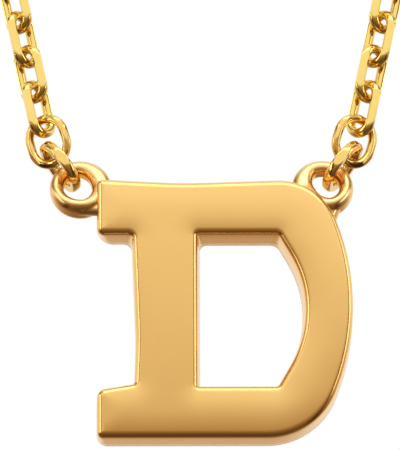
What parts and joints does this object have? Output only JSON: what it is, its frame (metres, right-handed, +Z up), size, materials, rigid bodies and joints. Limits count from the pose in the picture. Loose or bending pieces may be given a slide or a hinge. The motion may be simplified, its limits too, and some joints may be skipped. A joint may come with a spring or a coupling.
{
  "type": "initial pendant necklace",
  "caption": "Gold block initial D with soldered loops, held between the ends of a fine faceted cable chain that closes at the nape.",
  "frame": {"origin": "the chain's middle at the nape of the neck, where the necklace hangs", "axes": "+Z up, the letter's front faces -Y, +X to the wearer's left, which is right in the picture"},
  "size_m": [0.072, 0.059, 0.1678],
  "materials": {
    "letter_gold": "high polish gold with a warm, slightly rosy tone",
    "ring_gold": "polished yellow gold",
    "chain_gold": "polished yellow gold with planed facets"
  },
  "bodies": {
    "necklace": {"jump_ring_left": "ring_gold", "jump_ring_right": "ring_gold", "end_ring_left": "ring_gold", "end_ring_right": "ring_gold", "chain_left": "chain_gold", "chain_right": "chain_gold", "clasp": "ring_gold"},
    "pendant": {"initial_letter": "letter_gold"}
  },
  "joints": [
    {"name": "pendant_swing", "type": "hinge", "parent": "necklace", "child": "pendant", "pos_m": [0, -0.05462, -0.1546], "axis": [1, 0, 0], "range_deg": [-40, 40]}
  ]
}
